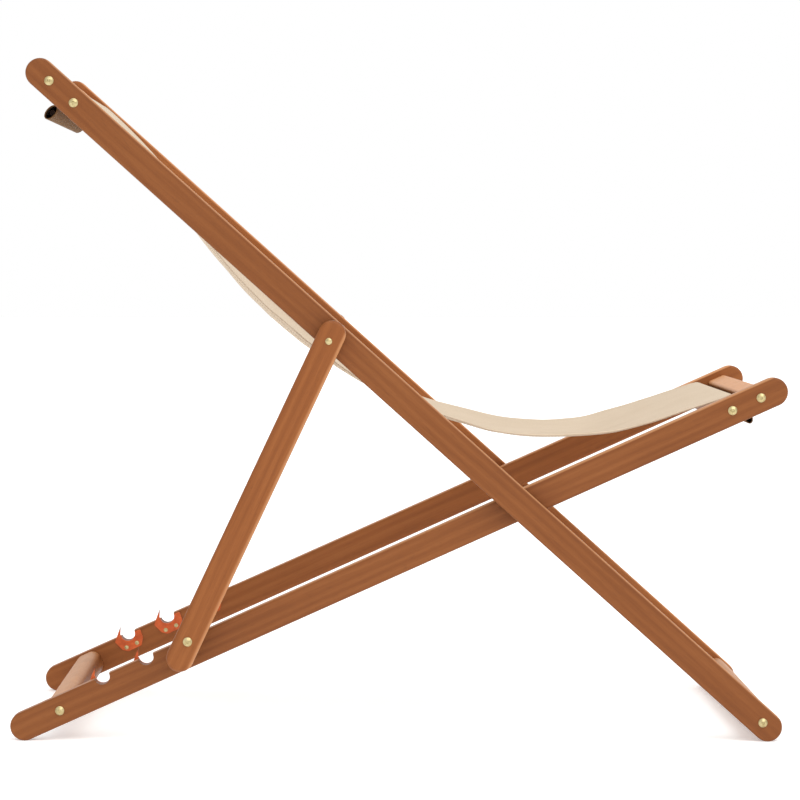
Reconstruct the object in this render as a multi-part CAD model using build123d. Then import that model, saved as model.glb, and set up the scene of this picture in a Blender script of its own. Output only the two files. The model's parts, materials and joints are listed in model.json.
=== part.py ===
"""Folding deck chair: two crossed wooden frames, a prop frame with three lying positions, a canvas sling.

Millimetres, +X towards the front of the seat, +Y towards the sitter's left, +Z up.
The origin is on the floor, under the middle of the open chair.
"""
from build123d import *
from math import asin, atan2, cos, degrees, hypot, radians, sin
import os

# ---- driving dimensions: the two crossed frames -------------------------------------------------
BACK_ANGLE = 42.0            # slope of the back rails, from the top down to the front foot
PIVOT_TO_TOP = 844.0         # main pivot to the centre of the back rail's rounded top end
PIVOT_TO_FOOT = 436.0        # main pivot to the centre of the back rail's rounded foot
PIVOT_TO_REAR = 716.0        # main pivot to the centre of the seat rail's rounded rear foot
PIVOT_TO_FRONT = 364.0       # main pivot to the centre of the seat rail's rounded front end
RAIL_HALF_WIDTH = 19.0
RAIL_THICKNESS = 20.0
RAIL_EDGE = 3.0              # rounding along the rails' long edges
BACK_RAIL_OUTER = 270.0      # outer face of a back rail, from the chair's middle plane
FRAME_GAP = 2.0              # washer space between neighbouring frames
SEAT_RAIL_OUTER = BACK_RAIL_OUTER - RAIL_THICKNESS - FRAME_GAP
SEAT_RAIL_INNER = SEAT_RAIL_OUTER - RAIL_THICKNESS
BACK_RAIL_INNER = BACK_RAIL_OUTER - RAIL_THICKNESS
PROP_LEG_INNER = BACK_RAIL_OUTER + FRAME_GAP
PROP_LEG_OUTER = PROP_LEG_INNER + RAIL_THICKNESS

# ---- cross pieces ---------------------------------------------------------------------------------
SLAT_WIDTH = 27.0
SLAT_THICKNESS = 22.0
SLAT_EDGE = 4.0
TOP_SLAT_UP = 0.0            # slat centres, off the rails' centreline
FRONT_SLAT_UP = -2.0
TOP_SLATS = {"outer": 828.0, "inner": 785.5}       # slat centres, from the main pivot
FRONT_SLATS = {"outer": 345.5, "inner": 304.5}
RUNG_WIDTH = 36.0
RUNG_HEIGHT = 33.0
RUNG_CORNER = 12.0
FOOT_RUNG_ALONG = 427.0
REAR_RUNG_ALONG = 665.0

# ---- prop frame and its notches -------------------------------------------------------------------
PROP_PIVOT_ALONG = 332.4     # prop pivot, from the main pivot up the back rail
PROP_PIVOT_UP = -8.2         # and under the rail's centreline
PROP_HALF_WIDTH = 18.0
PROP_EDGE = 4.5
PROP_TOP_OVERHANG = 10.0      # prop pivot to the centre of the leg's rounded top end
PROP_FOOT_OVERHANG = 24.0    # bar centre to the centre of the leg's rounded lower end
BAR_RADIUS = 10.0
NOTCH_RADIUS = 10.3
NOTCH_HEIGHT = 18.2          # centre of the notches above the seat rail's centreline
NOTCH_FIRST = 470.0          # centre of the most upright notch, from the main pivot
NOTCH_PITCH = 63.0
NOTCH_COUNT = 3
CLIP_THICKNESS = 2.0
CLIP_CORNER = 2.0
CLIP_RIM_WIDTH = 2.4
CLIP_RIM_HEIGHT = 1.4         # how far the rim stands off the plate

# ---- fasteners ------------------------------------------------------------------------------------
BOLT_HEAD_RADIUS = 6.0
BOLT_HEAD_HEIGHT = 3.5
BOLT_SHANK_RADIUS = 3.0
BOLT_SOCKET_ACROSS = 4.0
BOLT_SOCKET_DEPTH = 2.0
FRAME_BOLT_LENGTH = 62.0
PROP_PIVOT_HEAD_RADIUS = 4.4
PIVOT_SHANK_RADIUS = 4.0
PIVOT_DEPTH = 13.0           # how far a pivot bolt goes into the back rail
INSERT_RADIUS = 6.0
INSERT_DEPTH = 15.0
WASHER_RADIUS = 10.0
CLEARANCE = 0.05             # radial clearance of shanks in their holes
FACE_CLEARANCE = 0.1         # washers to the piece that turns on them
CLIP_SCREW_HEAD_RADIUS = 3.0
CLIP_SCREW_HEAD_HEIGHT = 1.4
CLIP_SCREW_SHANK_RADIUS = 1.4
CLIP_SCREW_LENGTH = 14.0

# ---- canvas sling ---------------------------------------------------------------------------------
SLING_WIDTH = 440.0
SLING_THICKNESS = 2.0
SLING_LIFT = 1.5             # canvas centreline over the slats
POCKET_HALF_HEIGHT = 11.5
POCKET_HALF_WIDTH = 6.5
POCKET_DROP = 30.0           # pocket centre under the back rail's centreline
FRONT_POCKET_DROP = 21.0
POCKET_SHIFT = 2.5           # pockets hang this far from the middle of the gap, towards the inner slat
ROD_RADIUS = 4.0
ROD_LENGTH = 400.0
ROD_CLEARANCE = 0.3

# ---- places worked out from the above -------------------------------------------------------------
PIVOT_RISE = PIVOT_TO_FOOT * sin(radians(BACK_ANGLE))
SEAT_ANGLE = degrees(asin(PIVOT_RISE / PIVOT_TO_REAR))
PIVOT_X = (PIVOT_TO_REAR - PIVOT_TO_FRONT) * cos(radians(SEAT_ANGLE)) / 2
PIVOT_Z = RAIL_HALF_WIDTH + PIVOT_RISE


def back_point(along, up=0.0):
    """(x, z) of a point on the back frame: along from the main pivot towards the top, up off the rail."""
    turn = radians(BACK_ANGLE)
    return (PIVOT_X - along * cos(turn) + up * sin(turn), PIVOT_Z + along * sin(turn) + up * cos(turn))


def seat_point(along, up=0.0):
    """(x, z) of a point on the seat frame: along from the main pivot towards the front, up off the rail."""
    turn = radians(SEAT_ANGLE)
    return (PIVOT_X + along * cos(turn) - up * sin(turn), PIVOT_Z + along * sin(turn) + up * cos(turn))


PROP_PIVOT = back_point(PROP_PIVOT_ALONG, PROP_PIVOT_UP)
BAR_CENTRE = seat_point(-NOTCH_FIRST, NOTCH_HEIGHT)
PROP_LENGTH = hypot(PROP_PIVOT[0] - BAR_CENTRE[0], PROP_PIVOT[1] - BAR_CENTRE[1])
PROP_ANGLE = degrees(atan2(PROP_PIVOT[1] - BAR_CENTRE[1], PROP_PIVOT[0] - BAR_CENTRE[0]))
SIDES = {"right": -1, "left": 1}


def placed(shape, point, y=0.0, tilt=0.0):
    """Turn a shape about +Y and put it at a side-view point."""
    return Pos(point[0], y, point[1]) * Rot(0, tilt, 0) * shape


def board(length, half_width, thickness, edge):
    """A flat board along X with fully rounded ends, centred, its faces towards -Y and +Y."""
    with BuildPart() as made:
        with BuildSketch(Plane.XZ):
            SlotCenterToCenter(length, 2 * half_width)
        extrude(amount=thickness / 2, both=True)
        rims = [e for e in made.edges() if abs(abs(e.center().Y) - thickness / 2) < 0.01]
        fillet(rims, edge)
    return made.part


def cross_piece(width, height, length, corner):
    """A straight bar along Y with rounded long edges, centred."""
    with BuildPart() as made:
        with BuildSketch(Plane.XZ):
            RectangleRounded(width, height, corner)
        extrude(amount=length / 2, both=True)
    return made.part


def shaft(radius, start, end, side):
    """A round shaft along Y between two distances from the middle plane, on one side of the chair."""
    middle = side * (start + end) / 2
    return Pos(0, middle, 0) * Rot(90, 0, 0) * Cylinder(radius, abs(end - start))


def dome_bolt(head_radius, head_height, shank_radius, length, socket=BOLT_SOCKET_ACROSS):
    """A bolt along -Z from its seat at the origin, with a domed head above and a hexagon socket."""
    rim = 0.25 * head_height
    rise = head_height - rim
    dome_radius = (head_radius ** 2 + rise ** 2) / (2 * rise)
    halfway = head_radius / 2
    halfway_drop = dome_radius - (dome_radius ** 2 - halfway ** 2) ** 0.5
    with BuildPart() as made:
        with BuildSketch(Plane.XZ):
            with BuildLine():
                Polyline((0, head_height), (0, -length), (shank_radius, -length), (shank_radius, 0),
                         (head_radius, 0), (head_radius, rim))
                ThreePointArc((head_radius, rim), (halfway, head_height - halfway_drop), (0, head_height))
            make_face()
        revolve(axis=Axis.Z)
        if socket:
            with BuildSketch(Plane.XY.offset(head_height)):
                RegularPolygon(socket / 2, 6, major_radius=False)
            extrude(amount=-BOLT_SOCKET_DEPTH, mode=Mode.SUBTRACT)
    return made.part


def ring(outer, inner, start, end, side):
    """A washer or sleeve along Y on one side of the chair."""
    return shaft(outer, start, end, side) - shaft(inner, start - 1, end + 1, side)


def facing(side, outward=True):
    """The turn that points a bolt's head away from the middle plane, or towards it."""
    return Rot(-90 * side if outward else 90 * side, 0, 0)


def frame_bolts(places, outer_face):
    """Domed bolts through both side rails into the ends of the cross pieces."""
    bolt = dome_bolt(BOLT_HEAD_RADIUS, BOLT_HEAD_HEIGHT, BOLT_SHANK_RADIUS, FRAME_BOLT_LENGTH)
    return [placed(facing(side) * bolt, p, side * outer_face) for p in places for side in SIDES.values()]


def bolt_holes(places, outer_face, radius=BOLT_SHANK_RADIUS + CLEARANCE):
    """The holes for frame_bolts, long enough for rail and cross piece."""
    depth = FRAME_BOLT_LENGTH + CLEARANCE
    return [placed(shaft(radius, outer_face + 1, outer_face - depth, side), p)
            for p in places for side in SIDES.values()]


def cut(shape, tools):
    """A shape with every tool taken off."""
    for tool in tools:
        shape = shape - tool
    return shape


def back_frame():
    """Back rails, top slats, foot rung and their bolts."""
    foot = back_point(-FOOT_RUNG_ALONG)
    places = [*[back_point(along) for along in TOP_SLATS.values()], foot]
    holes = bolt_holes(places, BACK_RAIL_OUTER)
    rail = board(PIVOT_TO_TOP + PIVOT_TO_FOOT, RAIL_HALF_WIDTH, RAIL_THICKNESS, RAIL_EDGE)
    rail_middle = back_point((PIVOT_TO_TOP - PIVOT_TO_FOOT) / 2)
    parts = {}
    for name, side in SIDES.items():
        insert_out = [placed(shaft(INSERT_RADIUS, BACK_RAIL_INNER, BACK_RAIL_INNER + INSERT_DEPTH, side),
                             (PIVOT_X, PIVOT_Z)),
                      placed(shaft(INSERT_RADIUS, BACK_RAIL_OUTER, BACK_RAIL_OUTER - INSERT_DEPTH, side),
                             PROP_PIVOT)]
        middle = side * (BACK_RAIL_OUTER + BACK_RAIL_INNER) / 2
        parts[f"back_rail_{name}"] = cut(placed(rail, rail_middle, middle, BACK_ANGLE), holes + insert_out)
    slat = cross_piece(SLAT_WIDTH, SLAT_THICKNESS, 2 * BACK_RAIL_INNER, SLAT_EDGE)
    for name, along in TOP_SLATS.items():
        parts[f"top_slat_{name}"] = cut(placed(slat, back_point(along, TOP_SLAT_UP), tilt=BACK_ANGLE), holes)
    rung = cross_piece(RUNG_WIDTH, RUNG_HEIGHT, 2 * BACK_RAIL_INNER, RUNG_CORNER)
    parts["foot_rung"] = cut(placed(rung, foot, tilt=BACK_ANGLE), holes)
    parts["back_frame_bolts"] = Compound(children=frame_bolts(places, BACK_RAIL_OUTER))
    return parts


def notch_places():
    """Side-view centres of the notches, the most upright first."""
    return [seat_point(-(NOTCH_FIRST + i * NOTCH_PITCH), NOTCH_HEIGHT) for i in range(NOTCH_COUNT)]


def notch_cutter():
    """The round-bottomed notch, open upwards, along Y."""
    throat = Pos(0, 0, NOTCH_RADIUS) * Box(2 * NOTCH_RADIUS, 4 * RAIL_THICKNESS, 2 * NOTCH_RADIUS)
    return Rot(90, 0, 0) * Cylinder(NOTCH_RADIUS, 4 * RAIL_THICKNESS) + throat


def seat_frame():
    """Seat rails with their notches, front slats, rear rung and their bolts."""
    rear = seat_point(-REAR_RUNG_ALONG)
    places = [*[seat_point(along) for along in FRONT_SLATS.values()], rear]
    holes = bolt_holes(places, SEAT_RAIL_OUTER)
    rail = board(PIVOT_TO_REAR + PIVOT_TO_FRONT, RAIL_HALF_WIDTH, RAIL_THICKNESS, RAIL_EDGE)
    rail_middle = seat_point((PIVOT_TO_FRONT - PIVOT_TO_REAR) / 2)
    notches = [placed(notch_cutter(), p, tilt=-SEAT_ANGLE) for p in notch_places()]
    parts = {}
    for name, side in SIDES.items():
        middle = side * (SEAT_RAIL_OUTER + SEAT_RAIL_INNER) / 2
        notch_tools = [Pos(0, middle, 0) * notch for notch in notches]
        pivot_hole = placed(shaft(PIVOT_SHANK_RADIUS + CLEARANCE, SEAT_RAIL_INNER - 1,
                                  SEAT_RAIL_OUTER + 1, side), (PIVOT_X, PIVOT_Z))
        tools = holes + notch_tools + [pivot_hole] + clip_screw_holes(side)
        parts[f"seat_rail_{name}"] = cut(placed(rail, rail_middle, middle, -SEAT_ANGLE), tools)
    slat = cross_piece(SLAT_WIDTH, SLAT_THICKNESS, 2 * SEAT_RAIL_INNER, SLAT_EDGE)
    for name, along in FRONT_SLATS.items():
        parts[f"front_slat_{name}"] = cut(placed(slat, seat_point(along, FRONT_SLAT_UP), tilt=-SEAT_ANGLE), holes)
    rung = cross_piece(RUNG_WIDTH, RUNG_HEIGHT, 2 * SEAT_RAIL_INNER, RUNG_CORNER)
    parts["rear_rung"] = cut(placed(rung, rear, tilt=-SEAT_ANGLE), holes)
    parts["seat_frame_bolts"] = Compound(children=frame_bolts(places, SEAT_RAIL_OUTER))
    return parts


CLIP_SCREW_PLACES = ((-10.0, -17.5), (6.6, -17.5))      # from the notch centre, along and up


def clip_plate(side):
    """A plastic notch clip: a plate with a hooked horn on its rear side and a raised rim round the notch."""
    r = NOTCH_RADIUS
    with BuildPart() as made:
        with BuildSketch(Plane.XZ):
            with BuildLine():
                Polyline((-r, 0), (-r - 0.4, 3.5), (-5.2, 14.5), (-13.5, 6.0), (-22.5, -3.8), (-17, -18.5),
                         (-9.5, -24), (11.5, -23.5), (18, -13.5), (19.2, -1.2), (r, -0.8))
                Line((r, -0.8), (r, 0))
                ThreePointArc((r, 0), (0, -r), (-r, 0))
            make_face()
        extrude(amount=CLIP_THICKNESS / 2, both=True)
        uprights = made.edges().filter_by(Axis.Y)
        fillet([e for e in uprights if abs(e.center().X) > r + 0.5 and e.center().Z < 3], CLIP_CORNER)
    with BuildPart() as rim:
        with BuildSketch(Plane.XZ):
            Circle(r + CLIP_RIM_WIDTH)
            Circle(r, mode=Mode.SUBTRACT)
            with Locations((0, r)):
                Rectangle(4 * r, 2 * r + 1.6, mode=Mode.SUBTRACT)
        extrude(amount=CLIP_THICKNESS / 2, both=True)
        fillet(rim.edges().filter_by(Axis.Y), 0.5)
    plate = made.part + Pos(0, -side * CLIP_RIM_HEIGHT, 0) * rim.part
    for along, up in CLIP_SCREW_PLACES:
        hole = Pos(along, 0, up) * Rot(90, 0, 0)
        plate -= hole * Cylinder(CLIP_SCREW_SHANK_RADIUS + CLEARANCE, 4 * CLIP_THICKNESS)
    return plate


def clip_screw_point(notch, place):
    """Side-view point of one clip screw."""
    turn = radians(SEAT_ANGLE)
    along, up = place
    return (notch[0] + along * cos(turn) - up * sin(turn), notch[1] + along * sin(turn) + up * cos(turn))


def clip_screw_holes(side):
    """Pilot holes for the clip screws in the inner face of one seat rail."""
    depth = CLIP_SCREW_LENGTH - CLIP_THICKNESS + CLEARANCE
    return [placed(shaft(CLIP_SCREW_SHANK_RADIUS + CLEARANCE, SEAT_RAIL_INNER - 1,
                         SEAT_RAIL_INNER + depth, side), clip_screw_point(notch, place))
            for notch in notch_places() for place in CLIP_SCREW_PLACES]


def notch_clips():
    """Six clips on the inner faces of the seat rails, two brass screws in each."""
    parts = {}
    screw = dome_bolt(CLIP_SCREW_HEAD_RADIUS, CLIP_SCREW_HEAD_HEIGHT, CLIP_SCREW_SHANK_RADIUS,
                      CLIP_SCREW_LENGTH, socket=0)
    screws = []
    for name, side in SIDES.items():
        plate = clip_plate(side)
        for i, notch in enumerate(notch_places()):
            middle = side * (SEAT_RAIL_INNER - CLIP_THICKNESS / 2)
            parts[f"notch_clip_{name}_{i + 1}"] = placed(plate, notch, middle, -SEAT_ANGLE)
            seat_face = side * (SEAT_RAIL_INNER - CLIP_THICKNESS)
            screws += [placed(facing(side, False) * screw, clip_screw_point(notch, place), seat_face)
                       for place in CLIP_SCREW_PLACES]
    parts["notch_clip_screws"] = Compound(children=screws)
    return parts


def prop_frame():
    """Prop legs, the round bar that rests in the notches, and its end bolts."""
    length = PROP_TOP_OVERHANG + PROP_LENGTH + PROP_FOOT_OVERHANG
    leg = board(length, PROP_HALF_WIDTH, RAIL_THICKNESS, PROP_EDGE)
    turn = radians(PROP_ANGLE)
    middle_along = length / 2 - PROP_TOP_OVERHANG
    leg_middle = (PROP_PIVOT[0] - middle_along * cos(turn), PROP_PIVOT[1] - middle_along * sin(turn))
    bolt = dome_bolt(BOLT_HEAD_RADIUS, BOLT_HEAD_HEIGHT, BOLT_SHANK_RADIUS, FRAME_BOLT_LENGTH)
    bar = Rot(90, 0, 0) * Cylinder(BAR_RADIUS, 2 * PROP_LEG_INNER)
    bolt_tools = bolt_holes([BAR_CENTRE], PROP_LEG_OUTER)
    parts = {"prop_bar": cut(placed(bar, BAR_CENTRE), bolt_tools)}
    for name, side in SIDES.items():
        pivot_hole = placed(shaft(PIVOT_SHANK_RADIUS + CLEARANCE, PROP_LEG_INNER - 1,
                                  PROP_LEG_OUTER + 1, side), PROP_PIVOT)
        middle = side * (PROP_LEG_INNER + PROP_LEG_OUTER) / 2
        parts[f"prop_leg_{name}"] = cut(placed(leg, leg_middle, middle, -PROP_ANGLE),
                                        bolt_tools + [pivot_hole])
    parts["prop_bar_bolts"] = Compound(children=[placed(facing(side) * bolt, BAR_CENTRE, side * PROP_LEG_OUTER)
                                                 for side in SIDES.values()])
    return parts


def pivots():
    """The two pairs of pivot bolts, the threaded inserts that hold them and the washers between frames."""
    main, prop = (PIVOT_X, PIVOT_Z), PROP_PIVOT
    main_length = RAIL_THICKNESS + FRAME_GAP + PIVOT_DEPTH
    main_bolt = dome_bolt(BOLT_HEAD_RADIUS, BOLT_HEAD_HEIGHT, PIVOT_SHANK_RADIUS, main_length)
    prop_bolt = dome_bolt(PROP_PIVOT_HEAD_RADIUS, 0.7 * BOLT_HEAD_HEIGHT, PIVOT_SHANK_RADIUS, main_length,
                          socket=0)
    thread = PIVOT_SHANK_RADIUS
    groups = {"main_pivot_bolts": [], "prop_pivot_bolts": [], "pivot_inserts": [],
              "main_pivot_washers": [], "prop_pivot_washers": []}
    for side in SIDES.values():
        groups["main_pivot_bolts"].append(
            placed(facing(side, False) * main_bolt, main, side * (SEAT_RAIL_INNER - FACE_CLEARANCE)))
        groups["prop_pivot_bolts"].append(
            placed(facing(side) * prop_bolt, prop, side * (PROP_LEG_OUTER + FACE_CLEARANCE)))
        groups["pivot_inserts"] += [
            placed(ring(INSERT_RADIUS, thread, BACK_RAIL_INNER, BACK_RAIL_INNER + INSERT_DEPTH, side), main),
            placed(ring(INSERT_RADIUS, thread, BACK_RAIL_OUTER - INSERT_DEPTH, BACK_RAIL_OUTER, side), prop)]
        groups["main_pivot_washers"].append(
            placed(ring(WASHER_RADIUS, thread + CLEARANCE, SEAT_RAIL_OUTER + FACE_CLEARANCE,
                        BACK_RAIL_INNER, side), main))
        groups["prop_pivot_washers"].append(
            placed(ring(WASHER_RADIUS, thread + CLEARANCE, BACK_RAIL_OUTER,
                        PROP_LEG_INNER - FACE_CLEARANCE, side), prop))
    return {name: Compound(children=solids) for name, solids in groups.items()}


def canvas(points):
    """A sheet of canvas as wide as the sling, following a smooth side-view line."""
    with BuildPart() as made:
        with BuildSketch(Plane.XZ):
            with BuildLine():
                Spline(*points)
            trace(line_width=SLING_THICKNESS)
        extrude(amount=SLING_WIDTH / 2, both=True)
    return made.part


def pocket(centre, tilt):
    """The sewn loop at one end of the sling, with room for its rod."""
    with BuildPart() as made:
        with BuildSketch(Plane.XZ):
            Ellipse(POCKET_HALF_WIDTH, POCKET_HALF_HEIGHT)
            Circle(ROD_RADIUS + ROD_CLEARANCE, mode=Mode.SUBTRACT)
        extrude(amount=SLING_WIDTH / 2, both=True)
    return placed(made.part, centre, tilt=tilt)


def sling():
    """The canvas as two sheets that part above the main pivot, their end pockets, and the rods inside."""
    top_pass = (TOP_SLATS["outer"] + TOP_SLATS["inner"]) / 2 - POCKET_SHIFT
    front_pass = (FRONT_SLATS["outer"] + FRONT_SLATS["inner"]) / 2 - POCKET_SHIFT
    over_top = TOP_SLAT_UP + SLAT_THICKNESS / 2 + SLING_LIFT
    over_front = FRONT_SLAT_UP + SLAT_THICKNESS / 2 + SLING_LIFT
    pocket_top = POCKET_HALF_HEIGHT - SLING_THICKNESS
    back_line = [back_point(top_pass, -POCKET_DROP + pocket_top), back_point(top_pass, -2),
                 back_point(top_pass - 1, over_top - 1), back_point(TOP_SLATS["inner"] + 9, over_top + 2.2),
                 back_point(TOP_SLATS["inner"] - 14, over_top + 2.2), back_point(750, 13.2),
                 back_point(709, 9.0), back_point(650, -1), back_point(600, -12.5),
                 back_point(550, -23), back_point(500, -32),
                 back_point(450, -36.5), back_point(410, -37.5), back_point(360, -34.5),
                 back_point(330, -31), back_point(256, -19), back_point(175, 5), back_point(120, 33),
                 (PIVOT_X - 12, PIVOT_Z + 93)]
    seat_line = [(PIVOT_X + 12, PIVOT_Z + 90), (PIVOT_X + 60, PIVOT_Z + 88), seat_point(142, 38.5),
                 seat_point(199, 29.7), seat_point(244, 24.7),
                 seat_point(FRONT_SLATS["inner"] - 14, over_front + 8.5),
                 seat_point(FRONT_SLATS["inner"] + 6, over_front + 5.0),
                 seat_point(front_pass - 1, over_front), seat_point(front_pass, -2),
                 seat_point(front_pass, -FRONT_POCKET_DROP + pocket_top)]
    top_centre = back_point(top_pass, -POCKET_DROP)
    front_centre = seat_point(front_pass, -FRONT_POCKET_DROP)
    rod = Rot(90, 0, 0) * Cylinder(ROD_RADIUS, ROD_LENGTH)
    return {"sling_back": canvas(back_line) + pocket(top_centre, BACK_ANGLE),
            "sling_seat": canvas(seat_line) + pocket(front_centre, -SEAT_ANGLE),
            "top_sling_rod": placed(rod, top_centre), "front_sling_rod": placed(rod, front_centre)}


def main():
    os.makedirs("parts", exist_ok=True)
    nodes = {**back_frame(), **seat_frame(), **notch_clips(), **prop_frame(), **pivots(), **sling()}
    for name, shape in nodes.items():
        export_step(shape, f"parts/{name}.step")
    print(f"pivot x {PIVOT_X:.2f} z {PIVOT_Z:.2f}, seat angle {SEAT_ANGLE:.3f}, prop length {PROP_LENGTH:.2f}")
    print("prop pivot", PROP_PIVOT, "bar", BAR_CENTRE, "prop angle", PROP_ANGLE)


main()
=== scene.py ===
"""The looks of the folding deck chair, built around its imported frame. Metres, in the frame's own axes.

Side-view shapes are given in millimetres along a rail from the main pivot and up off its centreline.
"""
import bpy
import json
from math import cos, pi, radians, sin
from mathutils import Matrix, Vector, noise


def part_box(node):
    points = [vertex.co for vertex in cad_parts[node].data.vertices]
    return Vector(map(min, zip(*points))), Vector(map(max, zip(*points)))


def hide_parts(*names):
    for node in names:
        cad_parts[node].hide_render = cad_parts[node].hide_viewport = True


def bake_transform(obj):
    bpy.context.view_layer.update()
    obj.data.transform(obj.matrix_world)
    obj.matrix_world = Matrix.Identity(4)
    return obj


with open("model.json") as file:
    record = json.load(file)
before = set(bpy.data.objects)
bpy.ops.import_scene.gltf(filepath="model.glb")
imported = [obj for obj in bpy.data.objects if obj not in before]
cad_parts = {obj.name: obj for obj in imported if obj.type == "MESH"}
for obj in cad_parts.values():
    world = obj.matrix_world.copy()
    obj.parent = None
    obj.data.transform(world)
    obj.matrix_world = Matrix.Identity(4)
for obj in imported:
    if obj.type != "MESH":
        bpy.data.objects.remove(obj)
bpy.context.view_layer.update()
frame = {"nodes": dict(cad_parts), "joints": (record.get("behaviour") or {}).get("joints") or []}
MM = 0.001


# ---- places, worked out from the frame ------------------------------------------------------------
def centre(node):
    """The middle of a CAD node's box."""
    low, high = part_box(node)
    return (low + high) / 2


JOINTS = {joint["name"]: joint for joint in frame["joints"]}
PIVOT = Vector(JOINTS["fold"]["pos_m"])
PROP_PIVOT = Vector(JOINTS["prop_swing"]["pos_m"])
BACK_UP = (centre("top_slat_outer") - centre("foot_rung")).normalized()
SEAT_OUT = (centre("front_slat_outer") - centre("rear_rung")).normalized()
PROP_UP = (PROP_PIVOT - centre("prop_bar")).normalized()
ACROSS = Vector((0, 1, 0))
BACK_OFF = Vector((BACK_UP.z, 0, -BACK_UP.x))
SEAT_OFF = Vector((-SEAT_OUT.z, 0, SEAT_OUT.x))


def back_point(along, up=0.0):
    """A point on the back frame's middle plane: millimetres up the rail from the pivot, and off it."""
    return PIVOT + (BACK_UP * along + BACK_OFF * up) * MM


def seat_point(along, up=0.0):
    """A point on the seat frame's middle plane: millimetres forward of the pivot, and off the rail."""
    return PIVOT + (SEAT_OUT * along + SEAT_OFF * up) * MM


# ---- node helpers -----------------------------------------------------------------------------------
class Graph:
    """A material's nodes, with short calls to add and join them."""

    def __init__(self, name):
        self.material = bpy.data.materials.new(name)
        self.material.use_nodes = True
        self.tree = self.material.node_tree
        self.shader = self.tree.nodes["Principled BSDF"]

    def add(self, kind, inputs=None, **settings):
        node = self.tree.nodes.new(kind)
        for key, value in settings.items():
            setattr(node, key, value)
        for key, value in (inputs or {}).items():
            self.set(node.inputs[key], value)
        return node

    def set(self, socket, value):
        if isinstance(value, bpy.types.NodeSocket):
            self.tree.links.new(value, socket)
        else:
            socket.default_value = value

    def finish(self, **values):
        for key, value in values.items():
            self.set(self.shader.inputs[key.replace("_", " ")], value)
        return self.material

    def math(self, operation, a, b=0.0, clamp=False):
        node = self.add("ShaderNodeMath", operation=operation, use_clamp=clamp)
        self.set(node.inputs[0], a)
        self.set(node.inputs[1], b)
        return node.outputs[0]

    def scaled(self, vector, factors):
        node = self.add("ShaderNodeVectorMath", operation="MULTIPLY")
        self.set(node.inputs[0], vector)
        node.inputs[1].default_value = factors
        return node.outputs[0]

    def noise(self, vector, scale, detail=2.0, roughness=0.5):
        node = self.add("ShaderNodeTexNoise", {"Vector": vector, "Scale": scale, "Detail": detail,
                                               "Roughness": roughness})
        return node.outputs["Fac"]

    def off_plane(self, coords, point, direction):
        """How far a place lies from a point, along a direction."""
        from_point = self.add("ShaderNodeVectorMath", operation="SUBTRACT")
        self.set(from_point.inputs[0], coords)
        from_point.inputs[1].default_value = point
        height = self.add("ShaderNodeVectorMath", operation="DOT_PRODUCT")
        self.set(height.inputs[0], from_point.outputs[0])
        height.inputs[1].default_value = direction
        return height.outputs["Value"]

    def ramp(self, factor, stops):
        node = self.add("ShaderNodeValToRGB", {"Fac": factor})
        elements = node.color_ramp.elements
        while len(elements) < len(stops):
            elements.new(0.5)
        for element, (position, colour) in zip(elements, stops):
            element.position = position
            element.color = (*colour, 1) if isinstance(colour, tuple) else (colour,) * 3 + (1,)
        return node.outputs["Color"]

    def mix(self, factor, a, b, blend="MIX"):
        node = self.add("ShaderNodeMix", data_type="RGBA", blend_type=blend)
        self.set(node.inputs[0], factor)
        self.set(node.inputs[6], a)
        self.set(node.inputs[7], b)
        return node.outputs[2]

    def bump(self, height, distance, strength=1.0, normal=None):
        node = self.add("ShaderNodeBump", {"Height": height, "Distance": distance, "Strength": strength})
        if normal:
            self.set(node.inputs["Normal"], normal)
        return node.outputs["Normal"]


# ---- materials --------------------------------------------------------------------------------------
WOOD_DARK = (0.156, 0.045, 0.0095)
WOOD_MID = (0.202, 0.063, 0.0145)
WOOD_LIGHT = (0.250, 0.085, 0.022)
# the paler colour of the painted highlight on top faces and edges
WOOD_HIGHLIGHT_PAINT = (0.520, 0.250, 0.110)
WOOD_PORE = (0.120, 0.036, 0.010)


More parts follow.
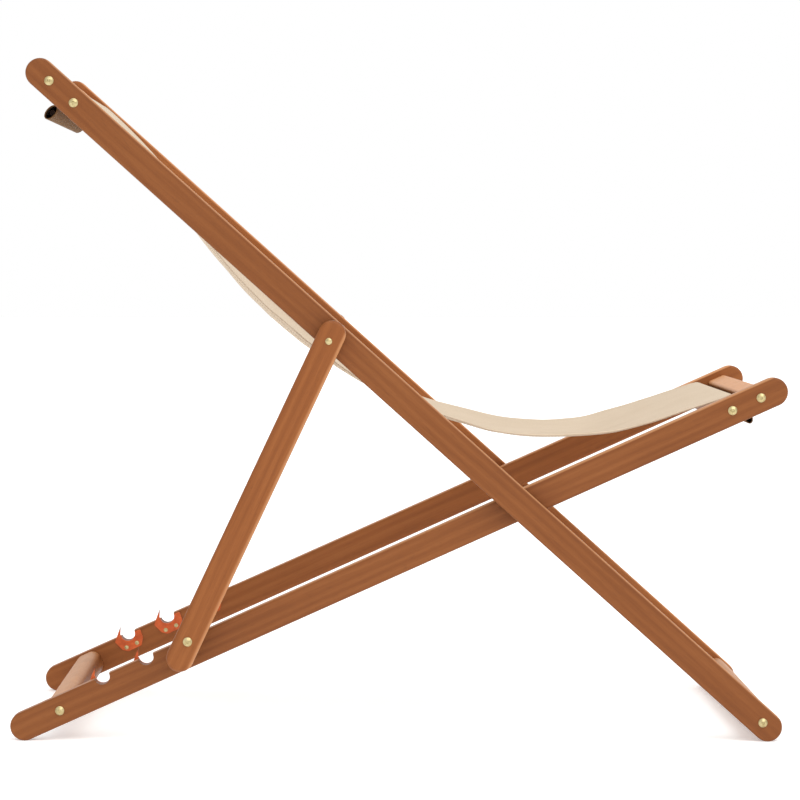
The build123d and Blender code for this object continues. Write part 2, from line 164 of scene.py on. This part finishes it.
def wood(name, grain, seed, painted_highlight, tone=1.0):
    """Oiled hardwood whose grain runs along a direction, as a solid texture: rings, fibres and pores.

    The painted highlight argument is (point, direction, from, to, strength): a painted highlight, paler
    colour on the top faces and edges of the piece where they catch the light.
    seed takes each piece from another part of the tree, and tone makes the whole piece darker or lighter:
    painted light and shade, lighter on pieces that should catch more light, dark on the rods hidden in the
    pockets.
    """
    g = Graph(name)
    coords = g.add("ShaderNodeTexCoord").outputs["Object"]
    if abs(grain.y) > 0.5:
        turn = (0, 0, -pi / 2)
    else:
        turn = (0, Vector((1, 0)).angle_signed(Vector((grain.x, -grain.z))), 0)
    place = (seed * 0.731, 0.050 + 0.013 * (seed % 5), 0.035 + 0.017 * (seed % 3))
    board = g.add("ShaderNodeMapping", {"Vector": coords, "Location": place, "Rotation": turn}).outputs[0]
    drift = g.noise(g.scaled(board, (2.2, 14, 14)), 1.0, 2)
    ring_settings = {"Scale": 30.0, "Distortion": 4.5, "Detail": 3.0, "Detail Scale": 1.4}
    rings = g.add("ShaderNodeTexWave", {"Vector": g.scaled(board, (0.10, 1, 1)), **ring_settings},
                  wave_type="RINGS", rings_direction="X").outputs["Fac"]
    streaks = g.noise(g.scaled(board, (5, 150, 150)), 1.0, 4, 0.6)
    fibres = g.noise(g.scaled(board, (26, 1100, 1100)), 1.0, 3, 0.6)
    pores = g.ramp(g.noise(g.scaled(board, (70, 1900, 1900)), 1.0, 1), [(0.28, 0.0), (0.38, 1.0)])
    figure = g.math("ADD", g.math("MULTIPLY", rings, 0.12), g.math("MULTIPLY", streaks, 0.50))
    figure = g.math("ADD", figure, g.math("MULTIPLY", fibres, 0.20))
    figure = g.math("ADD", figure, g.math("MULTIPLY", drift, 0.35))
    colour = g.ramp(figure, [(0.36, WOOD_DARK), (0.58, WOOD_MID), (0.82, WOOD_LIGHT)])
    colour = g.mix(g.math("MULTIPLY", g.math("SUBTRACT", 1.0, pores), 0.40), colour, (*WOOD_PORE, 1))
    # painted highlight: the colour goes paler, patchily, towards the side that faces the light
    point, side, low, high, strength = painted_highlight
    height = g.off_plane(coords, point, side)
    highlight_mask = g.add("ShaderNodeMapRange", {"Value": height, "From Min": low * MM, "From Max": high * MM},
                  interpolation_type="SMOOTHSTEP").outputs[0]
    patchy = g.math("ADD", g.math("MULTIPLY", g.noise(board, 45.0, 3), 0.5), 0.75)
    highlight_mask = g.math("MULTIPLY", g.math("MULTIPLY", highlight_mask, strength), patchy, clamp=True)
    colour = g.mix(highlight_mask, colour, (*WOOD_HIGHLIGHT_PAINT, 1))
    # painted light and shade: tone lightens or darkens the whole piece
    colour = g.mix(1.0, colour, (tone, tone, tone, 1), "MULTIPLY")
    roughness = g.math("ADD", g.math("MULTIPLY", fibres, 0.20), 0.36)
    normal = g.bump(pores, 0.10 * MM, 0.5, g.bump(fibres, 0.16 * MM, 0.6))
    return g.finish(Base_Color=colour, Roughness=roughness, Normal=normal, Specular_IOR_Level=0.22)


def brass():
    """Lacquered brass with fine turning marks and a little tarnish."""
    g = Graph("brass")
    coords = g.add("ShaderNodeTexCoord").outputs["Object"]
    tarnish = g.noise(coords, 260.0, 4, 0.6)
    marks = g.noise(g.scaled(coords, (2400, 300, 2400)), 1.0, 2)
    colour = g.ramp(tarnish, [(0.30, (0.36, 0.28, 0.13)), (0.55, (0.55, 0.46, 0.24)),
                              (0.80, (0.65, 0.57, 0.33))])
    roughness = g.math("ADD", g.math("MULTIPLY", tarnish, 0.25), 0.28)
    normal = g.bump(marks, 0.03 * MM, 0.4)
    return g.finish(Base_Color=colour, Metallic=1.0, Roughness=roughness, Normal=normal)


HORN_DARK_FROM = 24 * MM     # off the seat rails' centreline: where the clips' horns go dark
HORN_DARK_TO = 31 * MM
HORN_TIP = (0.090, 0.040, 0.022)


def clip_plastic():
    """Orange-red moulded plastic with a fine spark-eroded skin, scuffs, and horns darker towards the tip."""
    g = Graph("clip_plastic")
    coords = g.add("ShaderNodeTexCoord").outputs["Object"]
    grain = g.noise(coords, 2600.0, 2)
    scuffs = g.noise(coords, 95.0, 5, 0.65)
    colour = g.ramp(scuffs, [(0.30, (0.44, 0.078, 0.020)), (0.55, (0.57, 0.108, 0.028)),
                             (0.85, (0.66, 0.148, 0.044))])
    height = g.off_plane(coords, PIVOT, SEAT_OFF)
    tip = g.add("ShaderNodeMapRange", {"Value": height, "From Min": HORN_DARK_FROM,
                                       "From Max": HORN_DARK_TO}).outputs[0]
    colour = g.mix(tip, colour, (*HORN_TIP, 1))
    roughness = g.math("ADD", g.math("MULTIPLY", scuffs, 0.35), 0.26)
    return g.finish(Base_Color=colour, Roughness=roughness, Normal=g.bump(grain, 0.04 * MM, 0.5),
                    Specular_IOR_Level=0.22)


THREAD = 0.9 * MM                # width of one thread of the weave
POCKET_SHADE_FROM = 66 * MM      # along the canvas from either end: painted shade, brown, over the pockets
POCKET_SHADE_TO = 78 * MM
POCKET_PAINTED_SHADE = (0.165, 0.085, 0.034)
THREAD_GAP_SHADE = (0.42, 0.31, 0.20)


def canvas(length):
    """Unbleached cotton canvas: a plain weave laid out on the cloth's own length and width."""
    g = Graph("canvas")
    flat = g.add("ShaderNodeUVMap", uv_map="cloth").outputs["UV"]
    split = g.add("ShaderNodeSeparateXYZ", {"Vector": flat})

    def ridges(value):
        return g.math("ABSOLUTE", g.math("SINE", g.math("MULTIPLY", value, pi / THREAD)))

    over = g.add("ShaderNodeTexChecker", {"Vector": flat, "Scale": 1 / THREAD}).outputs["Fac"]
    warp, weft = ridges(split.outputs["X"]), ridges(split.outputs["Y"])
    weave = g.math("ADD", g.math("MULTIPLY", warp, over),
                   g.math("MULTIPLY", weft, g.math("SUBTRACT", 1.0, over)))
    long_slubs = g.noise(g.scaled(flat, (1600, 40, 1)), 1.0, 2)
    slubs = g.math("ADD", long_slubs, g.noise(g.scaled(flat, (40, 1600, 1)), 1.0, 2))
    blotches = g.noise(flat, 9.0, 4, 0.6)
    tone = g.math("ADD", g.math("MULTIPLY", slubs, 0.30), g.math("MULTIPLY", blotches, 0.40))
    colour = g.ramp(tone, [(0.28, (0.525, 0.420, 0.304)), (0.52, (0.594, 0.483, 0.361)),
                           (0.78, (0.645, 0.535, 0.410))])
    # painted shade: the hollows between the threads are darkened
    gap_shade = g.math("MULTIPLY", g.math("SUBTRACT", 1.0, weave), 0.10, clamp=True)
    colour = g.mix(gap_shade, colour, (*THREAD_GAP_SHADE, 1))
    # painted shade: the canvas turns brown towards both ends, where the pockets hang in shade under the
    # slats
    to_end = g.math("MINIMUM", split.outputs["Y"], g.math("SUBTRACT", length, split.outputs["Y"]))
    pocket_shade = g.add("ShaderNodeMapRange", {"Value": to_end, "From Min": POCKET_SHADE_TO,
                                         "From Max": POCKET_SHADE_FROM}, interpolation_type="SMOOTHSTEP")
    colour = g.mix(pocket_shade.outputs[0], colour, (*POCKET_PAINTED_SHADE, 1))
    rumple = g.noise(flat, 22.0, 4, 0.6)
    normal = g.bump(weave, 0.10 * MM, 0.35, g.bump(rumple, 0.9 * MM, 0.15))
    return g.finish(Base_Color=colour, Roughness=0.92, Sheen_Weight=0.04, Sheen_Roughness=0.5,
                    Specular_IOR_Level=0.12, Normal=normal)


def thread_cotton():
    """Cream sewing thread with a twist."""
    g = Graph("thread")
    coords = g.add("ShaderNodeTexCoord").outputs["Object"]
    twist = g.noise(coords, 2200.0, 2)
    colour = g.ramp(twist, [(0.3, (0.40, 0.31, 0.21)), (0.7, (0.66, 0.56, 0.42))])
    return g.finish(Base_Color=colour, Roughness=0.75, Normal=g.bump(twist, 0.08 * MM, 0.6))


FLOOR_GLOW = 0.30            # lifts the chair's broad, soft shadow to near white


def floor_paint():
    """A plain pale studio floor, faintly lit from within."""
    g = Graph("floor")
    coords = g.add("ShaderNodeTexCoord").outputs["Object"]
    tone = g.ramp(g.noise(coords, 0.6, 2), [(0.3, 0.90), (0.7, 0.93)])
    return g.finish(Base_Color=tone, Roughness=0.85, Emission_Color=(1, 1, 1, 1),
                    Emission_Strength=FLOOR_GLOW)


# ---- wood, brass and plastic on the CAD nodes -------------------------------------------------------
def highlit_side(direction, low, high, strength, point=PIVOT):
    """The painted highlight on a piece: millimetres off a line through a point, where the painted highlight
    starts and is full.
    """
    return (point, direction, low, high, strength)


def bar_highlit_side(node, direction, low, high, strength):
    """The painted highlight on a cross piece, measured from its own middle."""
    return (centre(node), direction, low, high, strength)


PROP_OFF = Vector((PROP_UP.z, 0, -PROP_UP.x))
# painted highlights: a paler band along the top edges of the rails and prop legs
BACK_HIGHLIGHT = highlit_side(BACK_OFF, 16.6, 18.9, 0.72)
SEAT_HIGHLIGHT = highlit_side(SEAT_OFF, 16.6, 18.9, 0.72)
PROP_HIGHLIGHT = highlit_side(PROP_OFF, 12.5, 17.5, 0.55, PROP_PIVOT)
# Each entry: grain direction, seed, painted highlight, tone. The tone is painted light and shade: pieces
# that should catch more light are made lighter, and the rods in the pockets are made dark as painted shade.
WOOD_NODES = {
    "back_rail_right": (BACK_UP, 1, BACK_HIGHLIGHT, 1.00), "back_rail_left": (BACK_UP, 2, BACK_HIGHLIGHT, 1.32),
    "seat_rail_right": (SEAT_OUT, 3, SEAT_HIGHLIGHT, 1.00), "seat_rail_left": (SEAT_OUT, 4, SEAT_HIGHLIGHT, 1.24),
    "prop_leg_right": (PROP_UP, 5, PROP_HIGHLIGHT, 1.22), "prop_leg_left": (PROP_UP, 6, PROP_HIGHLIGHT, 1.0),
    "top_slat_outer": (ACROSS, 7, bar_highlit_side("top_slat_outer", BACK_OFF, 5, 10, 1.0), 1.10),
    "top_slat_inner": (ACROSS, 8, bar_highlit_side("top_slat_inner", BACK_OFF, 5, 10, 1.0), 1.0),
    "front_slat_outer": (ACROSS, 9, bar_highlit_side("front_slat_outer", SEAT_OFF, 5, 10, 1.0), 1.15),
    "front_slat_inner": (ACROSS, 10, bar_highlit_side("front_slat_inner", SEAT_OFF, 5, 10, 1.0), 1.0),
    "foot_rung": (ACROSS, 11, bar_highlit_side("foot_rung", BACK_OFF, 2, 15, 0.9), 1.0),
    "rear_rung": (ACROSS, 12, bar_highlit_side("rear_rung", SEAT_OFF, 2, 15, 0.9), 1.0),
    "prop_bar": (ACROSS, 13, bar_highlit_side("prop_bar", Vector((0, 0, 1)), 2, 10, 0.6), 1.0),
    "top_sling_rod": (ACROSS, 14, bar_highlit_side("top_sling_rod", BACK_OFF, 0, 4, 0.3), 0.3),
    "front_sling_rod": (ACROSS, 15, bar_highlit_side("front_sling_rod", SEAT_OFF, 0, 4, 0.3), 0.3),
}
BRASS_NODES = ("back_frame_bolts", "seat_frame_bolts", "prop_bar_bolts", "main_pivot_bolts",
               "prop_pivot_bolts", "pivot_inserts", "main_pivot_washers", "prop_pivot_washers",
               "notch_clip_screws")


def finish_node(node, material):
    """Give a CAD node one material in every slot."""
    mesh = frame["nodes"][node].data
    for i in range(len(mesh.materials)):
        mesh.materials[i] = material
    if not mesh.materials:
        mesh.materials.append(material)


for node_name, (grain, seed, painted_highlight, tone) in WOOD_NODES.items():
    finish_node(node_name, wood("wood_" + node_name, grain, seed, painted_highlight, tone))
BRASS = brass()
for node_name in BRASS_NODES:
    finish_node(node_name, BRASS)
PLASTIC = clip_plastic()
for node_name in frame["nodes"]:
    if node_name.startswith("notch_clip_") and node_name != "notch_clip_screws":
        finish_node(node_name, PLASTIC)


# ---- the canvas sling -------------------------------------------------------------------------------
SLING_HALF = 220 * MM
CLOTH = 1.2 * MM
POCKET_SHIFT = 2.5           # the pockets hang this much behind the middle of the gap between the slats
TOP_GAP = (centre("top_slat_outer") + centre("top_slat_inner")) / 2 - PIVOT
FRONT_GAP = (centre("front_slat_outer") + centre("front_slat_inner")) / 2 - PIVOT
TOP_PASS = TOP_GAP.dot(BACK_UP) / MM - POCKET_SHIFT
FRONT_PASS = FRONT_GAP.dot(SEAT_OUT) / MM - POCKET_SHIFT
TOP_LOOP = (30.0, 10.8, 5.8)     # a pocket's drop below the rail's centreline, half height, half width
FRONT_LOOP = (18.9, 8.1, 5.0)
HEM_TAIL = 9.0               # the sewn-down end of the canvas above a pocket
TAIL_SIDE = 1.4              # the sewn-down end lies this much further along the rail than the pocket


def loop(point, gap, size, turns=14):
    """One end pocket, from its sewn-down tail, round the rod and back up: side-view points in order."""
    drop, half_height, half_width = size
    points = [point(gap + TAIL_SIDE, -drop + half_height + HEM_TAIL),
              point(gap + TAIL_SIDE, -drop + half_height + 2)]
    for i in range(1, turns):
        angle = 2 * pi * i / turns
        points.append(point(gap + half_width * sin(angle), -drop + half_height * cos(angle)))
    points.append(point(gap - 0.1, -drop + half_height + 1))
    points.append(point(gap - 0.2, -drop + half_height + 8))
    return points


def sling_line():
    """The whole canvas in side view, from the top pocket's tail to the front pocket's tail."""
    top, front = TOP_PASS, FRONT_PASS
    over_top = [back_point(top - 1.2, 3), back_point(top - 2.8, 10.2), back_point(top - 8.5, 14.9),
                back_point(top - 20, 15.8), back_point(top - 34, 15.7), back_point(750, 14.9)]
    hang = [back_point(709, 11.6), back_point(650, 2.4), back_point(600, -6.5), back_point(550, -15.2),
            back_point(500, -23.5), back_point(450, -29.6), back_point(410, -31.8), back_point(360, -29.2),
            back_point(330, -25.5), back_point(256, -14), back_point(175, 10), back_point(120, 35.5),
            PIVOT + Vector((-12 * MM, 0, 95 * MM)), PIVOT + Vector((60 * MM, 0, 90 * MM)),
            seat_point(142, 39.3), seat_point(199, 29.7), seat_point(244, 24.7)]
    over_front = [seat_point(front - 31, 19.5), seat_point(front - 12, 17.2), seat_point(front - 4.6, 14.6),
                  seat_point(front - 1.6, 8.5), seat_point(front - 0.6, 1)]
    top_loop = loop(back_point, top, TOP_LOOP)
    front_loop = loop(seat_point, front, FRONT_LOOP)
    return top_loop + over_top + hang + over_front + front_loop[::-1]


def smooth(points, per_span=24):
    """A smooth line through all the points (centripetal Catmull-Rom)."""
    padded = [points[0] * 2 - points[1], *points, points[-1] * 2 - points[-2]]
    line = []
    for p0, p1, p2, p3 in zip(padded, padded[1:], padded[2:], padded[3:]):
        t0 = 0.0
        t1 = t0 + (p1 - p0).length ** 0.5
        t2 = t1 + (p2 - p1).length ** 0.5
        t3 = t2 + (p3 - p2).length ** 0.5
        for i in range(per_span):
            t = t1 + (t2 - t1) * i / per_span
            a1 = p0 * ((t1 - t) / (t1 - t0)) + p1 * ((t - t0) / (t1 - t0))
            a2 = p1 * ((t2 - t) / (t2 - t1)) + p2 * ((t - t1) / (t2 - t1))
            a3 = p2 * ((t3 - t) / (t3 - t2)) + p3 * ((t - t2) / (t3 - t2))
            b1 = a1 * ((t2 - t) / (t2 - t0)) + a2 * ((t - t0) / (t2 - t0))
            b2 = a2 * ((t3 - t) / (t3 - t1)) + a3 * ((t - t1) / (t3 - t1))
            line.append(b1 * ((t2 - t) / (t2 - t1)) + b2 * ((t - t1) / (t2 - t1)))
    line.append(points[-1])
    return line


class Strip:
    """The sling's side-view line measured along its length, with the normal that faces the sitter."""

    def __init__(self, line):
        self.line = line
        self.at = [0.0]
        for a, b in zip(line, line[1:]):
            self.at.append(self.at[-1] + (b - a).length)
        self.length = self.at[-1]
        self.last = 1

    def place(self, s):
        """(point, tangent, normal) at a distance along the canvas."""
        s = min(max(s, 0.0), self.length)
        i = self.last if self.at[self.last - 1] <= s else 1
        while i < len(self.at) - 1 and self.at[i] < s:
            i += 1
        self.last = i
        a, b = self.line[i - 1], self.line[i]
        share = (s - self.at[i - 1]) / max(self.at[i] - self.at[i - 1], 1e-9)
        low, high = self.line[max(i - 3, 0)], self.line[min(i + 2, len(self.line) - 1)]
        tangent = (high - low).normalized()
        return a.lerp(b, share), tangent, Vector((-tangent.z, 0, tangent.x))


STRIP = Strip(smooth(sling_line()))
END_ZONE = 105 * MM          # the stretch at each end that is shaped by pocket and slats
EASE_ZONE = 150 * MM         # the stretch in which the free span's own shape comes in
SAG = 10 * MM                # the middle hangs this much below the edges
EDGE_WAVE = 1.3 * MM
RUMPLE = 2.2 * MM
FINE_RUMPLE = 0.8 * MM
WAIST = 0.010                # share of the width that is drawn in along the span


def span_share(s):
    """0 at the pockets and slats, 1 in the free span, smooth between."""
    reach = min(s - END_ZONE, STRIP.length - END_ZONE - s) / EASE_ZONE
    reach = min(max(reach, 0.0), 1.0)
    return reach * reach * (3 - 2 * reach)


def cloth_point(s, y, lift=0.0):
    """A point on the canvas: s along it, y across it, lift off its middle towards the sitter."""
    point, _, normal = STRIP.place(s)
    free = span_share(s)
    across = y / SLING_HALF
    sag = -SAG * (1 - across * across)
    edge_wave = EDGE_WAVE * sin(s * 31 + 2.1 * across) * across ** 4
    rumple = RUMPLE * noise.noise(Vector((s * 9, y * 5, 3.7)))
    rumple += FINE_RUMPLE * noise.noise(Vector((s * 27, y * 16, 8.1)))
    waist = 1 - WAIST * free
    offset = lift + free * (sag + edge_wave + rumple)
    return point + normal * offset + Vector((0, y * waist, 0))


STEP_NEAR_END = 2 * MM       # spacing of the rows of the cloth mesh
STEP_IN_SPAN = 7 * MM


def stations(start, end):
    """Distances along the canvas: close together round the pockets and slats, wider in the span."""
    found = []
    s = start
    while s < end - 1e-6:
        found.append(s)
        near_end = s < END_ZONE or s > STRIP.length - END_ZONE
        s += STEP_NEAR_END if near_end else STEP_IN_SPAN
    return found + [end]


def grid_mesh(name, rows, columns, place, uv):
    """A quad grid with a cloth UV map."""
    vertices = [place(r, c) for r in rows for c in columns]
    n = len(columns)
    faces = [(i * n + j, i * n + j + 1, (i + 1) * n + j + 1, (i + 1) * n + j)
             for i in range(len(rows) - 1) for j in range(n - 1)]
    mesh = bpy.data.meshes.new(name)
    mesh.from_pydata(vertices, [], faces)
    layer = mesh.uv_layers.new(name="cloth")
    for polygon in mesh.polygons:
        for corner in polygon.loop_indices:
            v = mesh.loops[corner].vertex_index
            layer.data[corner].uv = uv(rows[v // n], columns[v % n])
    piece = bpy.data.objects.new(name, mesh)
    bpy.context.scene.collection.objects.link(piece)
    for polygon in mesh.polygons:
        polygon.use_smooth = True
    return piece


def apply_modifiers(piece):
    """Replace a piece's mesh by what its modifiers make of it."""
    bpy.context.view_layer.update()
    evaluated = piece.evaluated_get(bpy.context.evaluated_depsgraph_get())
    made = bpy.data.meshes.new_from_object(evaluated)
    piece.modifiers.clear()
    piece.data = made


def swept(name, profile, start, end, side):
    """A closed profile of (y, lift) points swept along the canvas on one side, with capped ends."""
    rows = stations(start, end)
    ring = profile if side > 0 else [(-y, lift) for y, lift in profile[::-1]]
    n = len(ring)
    vertices = [cloth_point(s, y, lift) for s in rows for y, lift in ring]
    faces = [(i * n + j, (i + 1) * n + j, (i + 1) * n + (j + 1) % n, i * n + (j + 1) % n)
             for i in range(len(rows) - 1) for j in range(n)]
    faces += [tuple(range(n)), tuple((len(rows) - 1) * n + j for j in reversed(range(n)))]
    mesh = bpy.data.meshes.new(name)
    mesh.from_pydata(vertices, [], faces)
    layer = mesh.uv_layers.new(name="cloth")
    for polygon in mesh.polygons:
        polygon.use_smooth = True
        for corner in polygon.loop_indices:
            v = mesh.loops[corner].vertex_index
            layer.data[corner].uv = (ring[v % n][0], rows[v // n])
    piece = bpy.data.objects.new(name, mesh)
    bpy.context.scene.collection.objects.link(piece)
    return piece


STITCH_LENGTH = 3.0 * MM
STITCH_PITCH = 4.2 * MM
STITCH_RADIUS = 0.30 * MM
STITCH_SECTIONS = ((-0.5, 0.25), (-0.38, 0.85), (0.0, 1.0), (0.38, 0.85), (0.5, 0.25))
STITCH_SIDES = 5


def add_stitch(vertices, faces, middle, direction, normal):
    """One small sewn stitch: a rounded bead of thread that lies half in the cloth."""
    side = direction.cross(normal)
    base = len(vertices)
    for along, wide in STITCH_SECTIONS:
        for k in range(STITCH_SIDES):
            angle = 2 * pi * k / STITCH_SIDES
            ring = (side * cos(angle) + normal * sin(angle)) * STITCH_RADIUS * wide
            vertices.append(middle + direction * along * STITCH_LENGTH + ring)
    last = len(STITCH_SECTIONS) - 1
    for i in range(last):
        for k in range(STITCH_SIDES):
            a, b = base + i * STITCH_SIDES + k, base + i * STITCH_SIDES + (k + 1) % STITCH_SIDES
            faces.append((a, b, b + STITCH_SIDES, a + STITCH_SIDES))
    faces.append(tuple(base + k for k in reversed(range(STITCH_SIDES))))
    faces.append(tuple(base + last * STITCH_SIDES + k for k in range(STITCH_SIDES)))


def stitches(name, rows, lift):
    """Rows of stitches on one face of the canvas. A row is (start, end) as (s, y) places on the cloth."""
    vertices, faces = [], []
    for (s0, y0), (s1, y1) in rows:
        count = int(max(abs(s1 - s0), abs(y1 - y0)) / STITCH_PITCH)
        for i in range(count):
            share = (i + 0.5) / count
            s, y = s0 + (s1 - s0) * share, y0 + (y1 - y0) * share
            ahead = (0.5 * MM, 0) if abs(s1 - s0) > abs(y1 - y0) else (0, 0.5 * MM)
            middle = cloth_point(s, y, lift)
            direction = (cloth_point(s + ahead[0], y + ahead[1], lift) - middle).normalized()
            add_stitch(vertices, faces, middle, direction, STRIP.place(s)[2])
    mesh = bpy.data.meshes.new(name)
    mesh.from_pydata(vertices, [], faces)
    for polygon in mesh.polygons:
        polygon.use_smooth = True
    piece = bpy.data.objects.new(name, mesh)
    bpy.context.scene.collection.objects.link(piece)
    return piece


HEM_WIDTH = 20 * MM
HEM_FROM_TOP = 62 * MM       # the side hems end short of the pockets
HEM_FROM_FRONT = 60 * MM
HEM_STITCH_INSET = 2.5 * MM  # the side seam lies this far from the hem's inner edge
SEAM_END_GAP = 4 * MM        # the side seam stops this far from the hem's ends
UNDER_HEM = -1.95 * MM       # the hem's lower face, off the canvas's middle
EDGE_SHARE = 0.9965          # the canvas's cut edge lies just inside the folded hem
END_SEAM_SHARE = 0.96        # the pocket seams stop short of the edges
HEM_PROFILE = [(y * MM, lift * MM) for y, lift in
               ((200.0, -0.62), (200.4, -1.75), (210, -1.85), (218.6, -1.85), (220.2, -1.35),
                (220.8, -0.45), (220.6, 0.35), (219.9, 0.78), (218.4, 0.80), (218.2, -0.62))]
COLUMN_SHARES = [-1, -0.985, -0.96] + [i / 20 for i in range(-18, 19)] + [0.96, 0.985, 1]


def dress(piece, material):
    """Give a sling piece its material and bake its transform into its mesh."""
    piece.data.materials.clear()
    piece.data.materials.append(material)
    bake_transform(piece)


def make_sling():
    """The canvas, its folded side hems and its stitching."""
    length = STRIP.length
    canvas_cloth = canvas(length)
    thread = thread_cotton()
    cloth = grid_mesh("sling", stations(0, length), [c * SLING_HALF * EDGE_SHARE for c in COLUMN_SHARES],
                      cloth_point, lambda s, y: (y, s))
    solid = cloth.modifiers.new("thickness", "SOLIDIFY")
    solid.thickness = CLOTH
    solid.offset = 0
    apply_modifiers(cloth)
    hem_start = HEM_FROM_TOP
    hem_end = length - HEM_FROM_FRONT
    hems = [swept(f"sling_hem_{name}", HEM_PROFILE, hem_start, hem_end, side)
            for name, side in (("right", -1), ("left", 1))]
    stitch_y = SLING_HALF - HEM_WIDTH + HEM_STITCH_INSET
    seam_from = hem_start + SEAM_END_GAP
    seam_to = hem_end - SEAM_END_GAP
    edge_rows = [((seam_from, side * stitch_y), (seam_to, side * stitch_y)) for side in (-1, 1)]
    end_seam_s = HEM_TAIL * 0.55 * MM
    end_seam_y = END_SEAM_SHARE * SLING_HALF
    end_rows = [((s, -end_seam_y), (s, end_seam_y)) for s in (end_seam_s, length - end_seam_s)]
    upper = stitches("sling_stitches_upper", edge_rows + end_rows, CLOTH / 2)
    lower = stitches("sling_stitches_lower", edge_rows, UNDER_HEM)
    for piece in (cloth, *hems):
        dress(piece, canvas_cloth)
    for piece in (upper, lower):
        dress(piece, thread)
    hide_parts("sling_back", "sling_seat")
    print(f"canvas length {length:.4f} m")


make_sling()


# ---- floor, light and camera ------------------------------------------------------------------------
FLOOR_HALF = 30.0
KEY_PLACE = (1.6, -1.8, 2.6)
KEY_AIM = (0.1, 0, 0.35)
KEY_SIZE = 1.6
KEY_POWER = 14
SKY_DIRECTION = (-0.30, 0.70, -1.0)
SKY_SPREAD = 60.0            # degrees
CAMERA_PLACE = (-0.0594, -4.330, 0.6312)
CAMERA_TURN = (87.444, -0.012, -0.852)       # degrees: looks a little down and towards the chair's front
CAMERA_LENS = 140.1
CAMERA_SENSOR = 36


def make_stage():
    """A wide pale floor and a white surround."""
    half = FLOOR_HALF
    mesh = bpy.data.meshes.new("floor")
    corners = [(-half, -half, 0), (half, -half, 0), (half, half, 0), (-half, half, 0)]
    mesh.from_pydata(corners, [], [(0, 1, 2, 3)])
    floor = bpy.data.objects.new("floor", mesh)
    mesh.materials.append(floor_paint())
    bpy.context.scene.collection.objects.link(floor)
    world = bpy.data.worlds.new("surround")
    world.use_nodes = True
    background = world.node_tree.nodes["Background"]
    background.inputs["Color"].default_value = (1.0, 1.0, 1.0, 1)
    background.inputs["Strength"].default_value = 1.0
    bpy.context.scene.world = world
    bpy.context.scene.view_settings.view_transform = "Standard"


def lamp(name, place, target, size, power):
    """A square soft lamp aimed at a point."""
    light = bpy.data.lights.new(name, "AREA")
    light.shape = "SQUARE"
    light.size = size
    light.energy = power
    holder = bpy.data.objects.new(name, light)
    holder.location = place
    holder.rotation_euler = (Vector(target) - Vector(place)).to_track_quat("-Z", "Y").to_euler()
    bpy.context.scene.collection.objects.link(holder)


def sky_light(strength, direction, spread):
    """A broad, even light from above that keeps the floor pale out to its far edge."""
    light = bpy.data.lights.new("sky_light", "SUN")
    light.energy = strength
    light.angle = spread
    holder = bpy.data.objects.new("sky_light", light)
    holder.rotation_euler = Vector(direction).to_track_quat("-Z", "Y").to_euler()
    bpy.context.scene.collection.objects.link(holder)


def make_camera():
    """The camera: square on to the chair's right side, from seat height, far back."""
    camera = bpy.data.cameras.new("camera")
    camera.sensor_width = CAMERA_SENSOR
    camera.lens = CAMERA_LENS
    holder = bpy.data.objects.new("camera", camera)
    holder.location = CAMERA_PLACE
    holder.rotation_euler = [radians(turn) for turn in CAMERA_TURN]
    bpy.context.scene.collection.objects.link(holder)
    bpy.context.scene.camera = holder


make_stage()
sky_light(1.0, SKY_DIRECTION, radians(SKY_SPREAD))
lamp("key", KEY_PLACE, KEY_AIM, KEY_SIZE, KEY_POWER)
make_camera()
